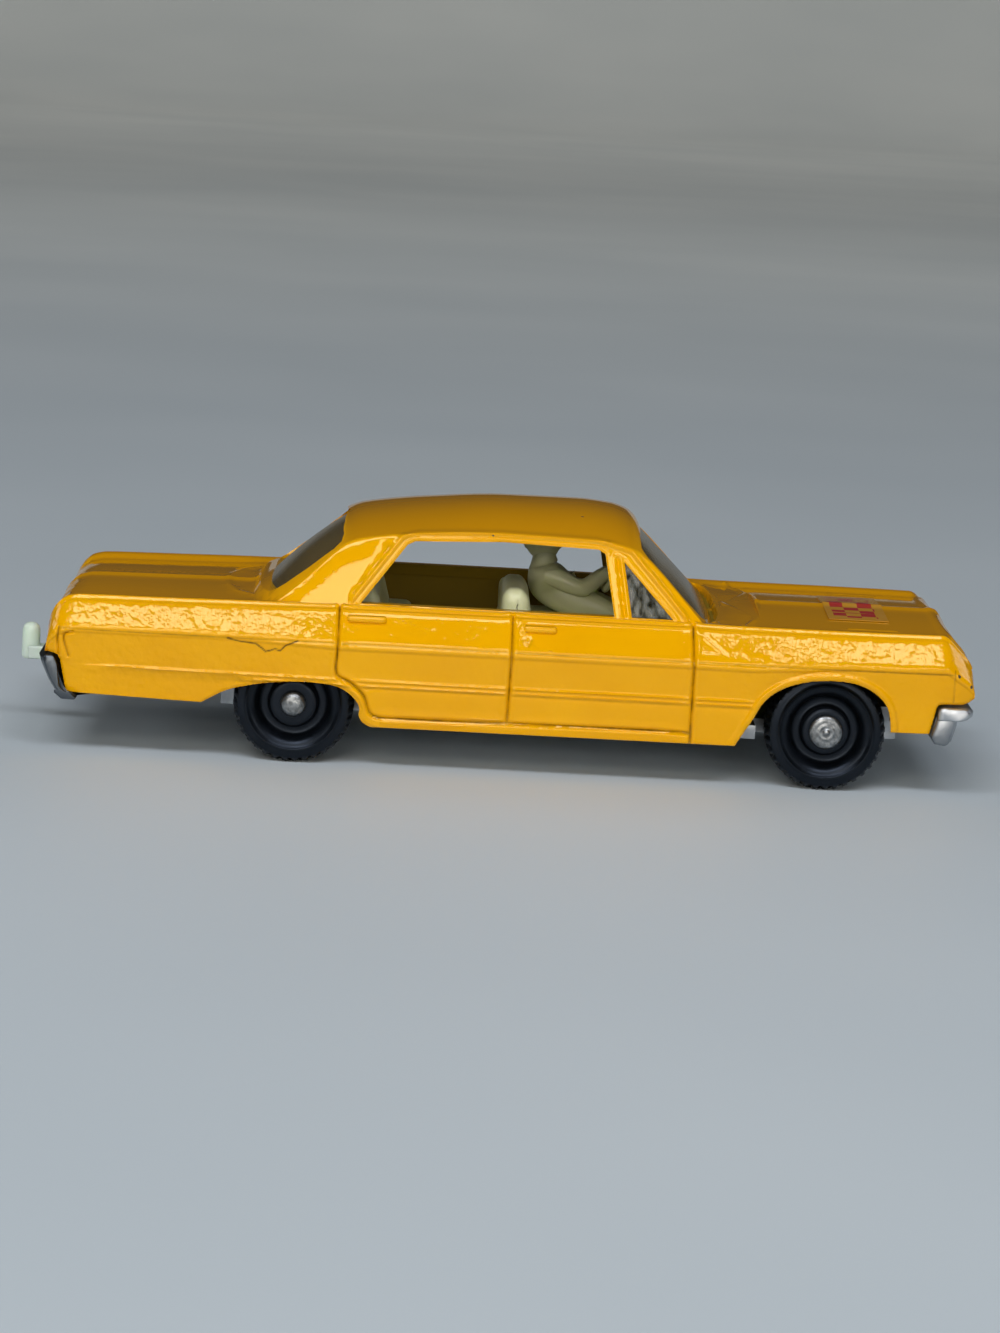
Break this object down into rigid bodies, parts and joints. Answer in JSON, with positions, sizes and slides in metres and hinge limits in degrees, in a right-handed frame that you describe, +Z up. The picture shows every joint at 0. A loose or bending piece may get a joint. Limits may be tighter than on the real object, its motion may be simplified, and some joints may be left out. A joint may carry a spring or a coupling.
{
  "type": "die-cast toy car",
  "caption": "Die-cast toy taxi sedan with open side windows, seated driver, tow hook, bare metal base and free-rolling black plastic wheels on steel axles.",
  "frame": {"origin": "on the ground below the middle of the car's box, tow hook included", "axes": "+X to the front of the car, +Y to its left, +Z up"},
  "size_m": [0.0776, 0.0284, 0.0209],
  "materials": {
    "yellow_enamel": "glossy sprayed enamel on cast zinc, lightly chipped at the edges",
    "bare_zinc": "bare tumbled zinc casting",
    "ivory_plastic": "moulded satin plastic",
    "clear_plastic": "clear moulded plastic",
    "decal_print": "thin printed film",
    "bright_steel": "bright drawn wire with formed heads",
    "black_plastic": "semi-gloss moulded plastic"
  },
  "bodies": {
    "chassis": {"body_shell": "yellow_enamel", "base_plate": "bare_zinc", "interior_moulding": "ivory_plastic", "window_glazing": "clear_plastic", "hood_decal": "decal_print"},
    "front_axle": {"front_axle": "bright_steel"},
    "rear_axle": {"rear_axle": "bright_steel"},
    "wheel_front_left": {"wheel_front_left": "black_plastic"},
    "wheel_front_right": {"wheel_front_right": "black_plastic"},
    "wheel_rear_left": {"wheel_rear_left": "black_plastic"},
    "wheel_rear_right": {"wheel_rear_right": "black_plastic"}
  },
  "joints": [
    {"name": "front_axle_spin", "type": "hinge", "parent": "chassis", "child": "front_axle", "pos_m": [0.02705, 0, 0.00485], "axis": [0, 1, 0], "continuous": true},
    {"name": "wheel_front_left_spin", "type": "hinge", "parent": "front_axle", "child": "wheel_front_left", "pos_m": [0.02705, 0.01075, 0.00485], "axis": [0, 1, 0], "continuous": true},
    {"name": "wheel_front_right_spin", "type": "hinge", "parent": "front_axle", "child": "wheel_front_right", "pos_m": [0.02705, -0.01075, 0.00485], "axis": [0, 1, 0], "continuous": true},
    {"name": "rear_axle_spin", "type": "hinge", "parent": "chassis", "child": "rear_axle", "pos_m": [-0.01575, 0, 0.00485], "axis": [0, 1, 0], "continuous": true},
    {"name": "wheel_rear_left_spin", "type": "hinge", "parent": "rear_axle", "child": "wheel_rear_left", "pos_m": [-0.01575, 0.01075, 0.00485], "axis": [0, 1, 0], "continuous": true},
    {"name": "wheel_rear_right_spin", "type": "hinge", "parent": "rear_axle", "child": "wheel_rear_right", "pos_m": [-0.01575, -0.01075, 0.00485], "axis": [0, 1, 0], "continuous": true}
  ]
}
